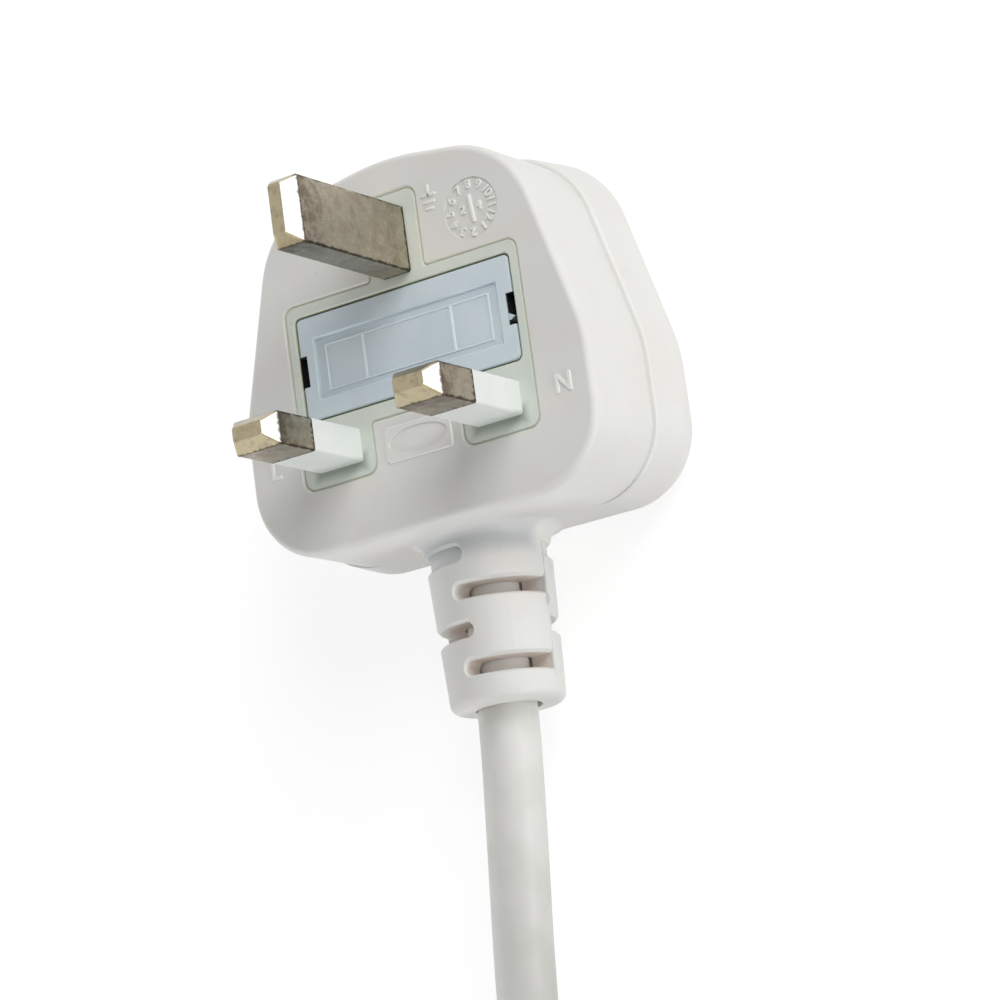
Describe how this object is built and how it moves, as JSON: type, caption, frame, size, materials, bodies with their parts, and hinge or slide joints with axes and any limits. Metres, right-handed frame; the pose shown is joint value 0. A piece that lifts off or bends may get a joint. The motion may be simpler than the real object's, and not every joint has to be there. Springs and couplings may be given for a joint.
{
  "type": "mains plug",
  "caption": "Moulded mains plug with flat brass pins, a fuse drawer let into its face, a slotted cord guard and a length of round white cord.",
  "frame": {"origin": "on the plug's flat back, which it rests on, under the point midway between the live and neutral pins", "axes": "+Z out of the face along the pins, +Y from the live and neutral pins towards the earth pin, so the cord leaves towards -Y; +X towards the neutral pin"},
  "size_m": [0.0869, 0.1963, 0.0434],
  "materials": {
    "soft_moulding": "matt white PVC",
    "carrier_plastic": "satin pale green white",
    "cover_plastic": "matt, sealed inside",
    "sleeve_plastic": "near white",
    "drawer_plastic": "satin pale blue grey",
    "pin_metal": "worn nickel plate on brass",
    "fuse_ceramic": null,
    "fuse_metal": "nickel plated",
    "fuse_wire": "tinned wire",
    "clip_metal": "rolled brass strip",
    "copper": "bare stranded copper",
    "core_brown": "brown PVC",
    "core_blue": "blue PVC",
    "core_earth": "green and yellow PVC",
    "cord_sheath": "matt white PVC",
    "tie_plastic": "white nylon",
    "ferrule_metal": "tinned copper"
  },
  "bodies": {
    "plug": {"body_moulding": "soft_moulding", "pin_carrier": "carrier_plastic", "inner_cover": "cover_plastic", "earth_pin": "pin_metal", "live_pin": "pin_metal", "neutral_pin": "pin_metal", "live_sleeve": "sleeve_plastic", "neutral_sleeve": "sleeve_plastic", "line_clip": "clip_metal", "load_clip": "clip_metal", "neutral_terminal": "clip_metal", "earth_terminal": "clip_metal", "live_conductor": "copper", "neutral_conductor": "copper", "earth_conductor": "copper", "brown_core": "core_brown", "blue_core": "core_blue", "earth_core": "core_earth", "cord_tube": "cord_sheath", "cord_coil": "cord_sheath", "coil_tie": "tie_plastic", "end_core_brown": "core_brown", "end_core_blue": "core_blue", "end_core_earth": "core_earth", "end_ferrules": "ferrule_metal"},
    "fuse_drawer": {"fuse_carrier": "drawer_plastic", "fuse_tube": "fuse_ceramic", "fuse_cap_line": "fuse_metal", "fuse_cap_load": "fuse_metal", "fuse_element": "fuse_wire"}
  },
  "joints": [
    {"name": "drawer_slide", "type": "slide", "parent": "plug", "child": "fuse_drawer", "axis": [0, 0, 1], "range_m": [0, 0.014]}
  ]
}
